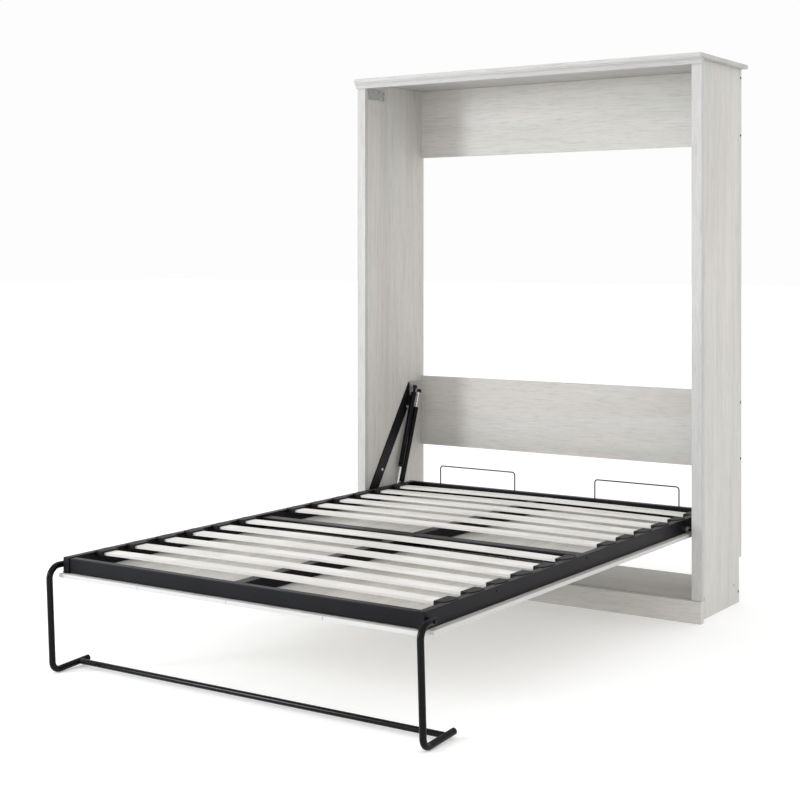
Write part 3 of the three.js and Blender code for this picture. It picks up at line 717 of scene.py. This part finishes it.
def socket_and_pocket(side, slat):
    """The block that hangs inside the rail, and the space in it for the slat's end."""
    middle, slat_bottom = slat_place(slat)
    block = box_part(
        (side * HOLDER_INNER, side * SOCKET_END),
        (middle - INNER_HALF, middle + INNER_HALF),
        (SOCKET_BOTTOM, RAIL_TOP_Z + BLOCK_END),
    )
    pocket = box_part(
        (side * (HOLDER_INNER - POCKET_MOUTH), side * POCKET_END),
        (middle - POCKET_HALF, middle + POCKET_HALF),
        (slat_bottom - PLAY_BELOW_SLAT, slat_bottom + SLAT_THICK + PLAY_ABOVE_SLAT),
    )
    return block, pocket


for side, label in SIDES:
    flanges = merged([holder_flange(side, slat) for slat in SLATS])
    node = f"slat_holders_{label}"
    holders = make_piece(f"slat_clips_{label}", *flanges, PLASTIC, "bed_frame", "black_plastic", [node])
    blocks, pockets = zip(*(socket_and_pocket(side, slat) for slat in SLATS))
    combine(holders, merged(blocks), "UNION")
    combine(holders, merged(pockets), "DIFFERENCE")

# ---------------------------------------------------------------- screws and caps

# Places of the heads as (depth, z)
BACK_RAIL_DEPTH = 0.407
SIDE_SCREWS = [(BACK_RAIL_DEPTH, z) for z in (1.983, 1.765, 0.754, 0.541)]
SIDE_SCREWS += [(0.385, 0.042)]
SHELF_CAPS = [(0.343, 0.073), (0.072, 0.073)]
PLATE_SCREWS = [(0.110, 0.425), (0.288, 0.671)]
RAIL_BOLTS = [(-1.254, 0.350), (-0.715, 0.351), (-0.087, 0.352)]

# Sizes of the heads as (radius, height)
SIDE_SCREW_SIZE = (0.0042, 0.0018)
SHELF_CAP_SIZE = (0.0062, 0.0012)
PLATE_SCREW_SIZE = (0.0062, 0.0022)
RAIL_BOLT_SIZE = (0.0042, 0.0016)
HEAD_SEGMENTS = 24
# The plate screws stand this far off the plate's face.
PLATE_SCREW_GAP = 0.0001

# Profiles as (share of the radius, share of the height)
DOMED = [(0.0, 0.0), (1.0, 0.0), (1.0, 0.35), (0.86, 0.75), (0.6, 1.0), (0.34, 1.0), (0.26, 0.45), (0.0, 0.4)]
FLAT = [(0.0, 0.0), (1.0, 0.0), (1.0, 0.35), (0.92, 1.0), (0.0, 1.0)]


def screw_heads(places, x, direction, size, shape=DOMED):
    """Low round heads that stand on the plane at x and look along direction."""
    radius, height = size
    profile = [(radius * across, height * along) for across, along in shape]
    points = [place(x, depth, z) for depth, z in places]
    return merged([turned(profile, point, point + direction, HEAD_SEGMENTS) for point in points])


for side, label in SIDES:
    outward = Vector((side, 0, 0))
    outside = side * PANEL_OUTER_X
    inside = side * (PLATE_INNER_X - PLATE_SCREW_GAP)
    screws = screw_heads(SIDE_SCREWS, outside, outward, SIDE_SCREW_SIZE)
    make_piece(f"panel_screws_{label}", *screws, STEEL, "cabinet", "black_steel")
    caps = screw_heads(SHELF_CAPS, outside, outward, SHELF_CAP_SIZE, FLAT)
    make_piece(f"shelf_caps_{label}", *caps, CAP, "cabinet", "white_wood")
    screws = screw_heads(PLATE_SCREWS, inside, -outward, PLATE_SCREW_SIZE)
    make_piece(f"plate_screws_{label}", *screws, ZINC, "cabinet", "zinc_steel")
    bolts = screw_heads(RAIL_BOLTS, side * RAIL_FACE_X, outward, RAIL_BOLT_SIZE)
    make_piece(f"rail_bolts_{label}", *bolts, STEEL, "bed_frame", "black_steel")

# ---------------------------------------------------------------- floor, light and camera

FLOOR_REACH = 60.0
FLOOR_GLOW = 0.22
SKY_COLOUR = (1.0, 1.0, 1.0, 1.0)
SKY_STRENGTH = 0.98
LIGHT_TARGET = Vector((0, 0.4, 1.0))
# The camera stands at this x, depth and height, is level, and is turned this far about the upright.
CAMERA_PLACE = (2.93489, -4.85554, 1.30292)
CAMERA_TURN = math.radians(31.82)
CAMERA_LENS, CAMERA_SENSOR = 66.82, 36.0
CAMERA_SHIFT_X, CAMERA_SHIFT_Y = -0.125, -0.1782


def floor_material():
    """A plain, nearly white floor that glows a little."""
    g = Graph("pale_floor")
    cloud = g.noise(g.mapped((1.0, 1.0, 1.0)), scale=0.6, detail=3.0)
    colour = g.ramp(cloud, (0.3, (0.91, 0.91, 0.91)), (0.7, (0.93, 0.93, 0.93)))
    g.set(g.shader, "Emission Color", colour)
    return g.finish(colour, 0.9, Specular_IOR_Level=0.1, Emission_Strength=FLOOR_GLOW)


floor_mesh = bpy.data.meshes.new("floor")
floor_corners = [(FLOOR_REACH * x, FLOOR_REACH * y, 0) for x, y in ((-1, -1), (1, -1), (1, 1), (-1, 1))]
floor_mesh.from_pydata(floor_corners, [], [(0, 1, 2, 3)])
floor_mesh.materials.append(floor_material())
floor = bpy.data.objects.new("floor", floor_mesh)
scene.collection.objects.link(floor)

world = bpy.data.worlds.new("studio")
world.use_nodes = True
sky = world.node_tree.nodes["Background"]
sky.inputs["Color"].default_value = SKY_COLOUR
sky.inputs["Strength"].default_value = SKY_STRENGTH
scene.world = world


def area_light(name, location, width, height, power, colour):
    """A rectangular light that looks at the light target."""
    light = bpy.data.lights.new(name, "AREA")
    light.color = colour
    light.shape = "RECTANGLE"
    light.size = width
    light.size_y = height
    light.energy = power
    item = bpy.data.objects.new(name, light)
    scene.collection.objects.link(item)
    item.location = location
    item.rotation_euler = (LIGHT_TARGET - Vector(location)).to_track_quat("-Z", "Y").to_euler()


area_light("key", (-4.0, -5.2, 2.3), width=1.1, height=2.4, power=195, colour=(0.90, 0.945, 1.0))
area_light("fill", (3.5, -5.5, 2.4), width=2.5, height=2.5, power=18, colour=(1.0, 0.99, 0.97))

camera_data = bpy.data.cameras.new("camera")
camera_data.sensor_width = CAMERA_SENSOR
camera_data.lens = CAMERA_LENS
camera_data.shift_x = CAMERA_SHIFT_X
camera_data.shift_y = CAMERA_SHIFT_Y
camera = bpy.data.objects.new("camera", camera_data)
scene.collection.objects.link(camera)
camera.location = place(*CAMERA_PLACE)
camera.rotation_euler = (math.radians(90), 0.0, CAMERA_TURN)
scene.camera = camera

scene.view_settings.view_transform = "Standard"
scene.view_settings.look = "None"
